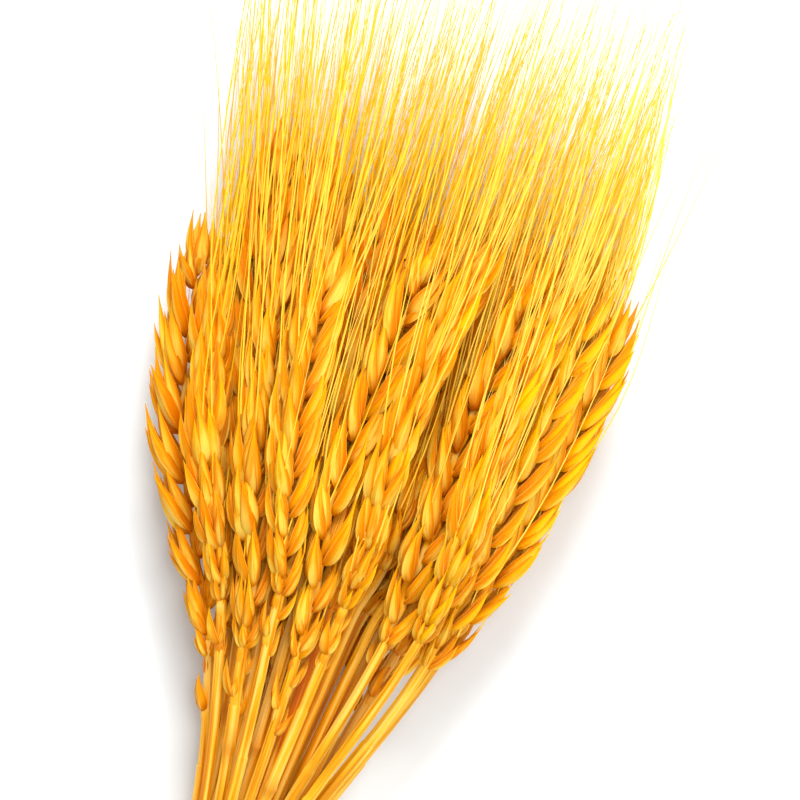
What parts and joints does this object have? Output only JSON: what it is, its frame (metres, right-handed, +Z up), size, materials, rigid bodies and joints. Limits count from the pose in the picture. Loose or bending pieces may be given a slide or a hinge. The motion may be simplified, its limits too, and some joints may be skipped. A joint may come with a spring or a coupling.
{
  "type": "bundle of dried wheat",
  "caption": "Bundle of dried bearded wheat tied round its cut stems, with dense ears and long straight awns, lying flat.",
  "frame": {"origin": "middle of the bundle's bounding box, on the surface that it lies on", "axes": "+Y along the stems towards the ears, +X across the bundle, +Z up from the surface"},
  "size_m": [0.1152, 0.4042, 0.0602],
  "materials": {
    "straw": "satin",
    "tie": "matte"
  },
  "bodies": {
    "root": {"stalk_01": "straw", "stalk_02": "straw", "stalk_03": "straw", "stalk_04": "straw", "stalk_05": "straw", "stalk_06": "straw", "stalk_07": "straw", "stalk_08": "straw", "stalk_09": "straw", "stalk_10": "straw", "stalk_11": "straw", "stalk_12": "straw", "stalk_13": "straw", "stalk_14": "straw", "stalk_15": "straw", "stalk_16": "straw", "stalk_17": "straw", "stalk_18": "straw", "stalk_19": "straw", "stalk_20": "straw", "stalk_21": "straw", "stalk_22": "straw", "stalk_23": "straw", "stalk_24": "straw", "stalk_25": "straw", "stalk_26": "straw", "stalk_27": "straw", "stalk_28": "straw", "stalk_29": "straw", "stalk_30": "straw", "stalk_31": "straw", "stalk_32": "straw", "stalk_33": "straw", "stalk_34": "straw", "stalk_35": "straw", "stalk_36": "straw", "stalk_37": "straw", "stalk_38": "straw", "stalk_39": "straw", "tie": "tie"}
  },
  "joints": []
}
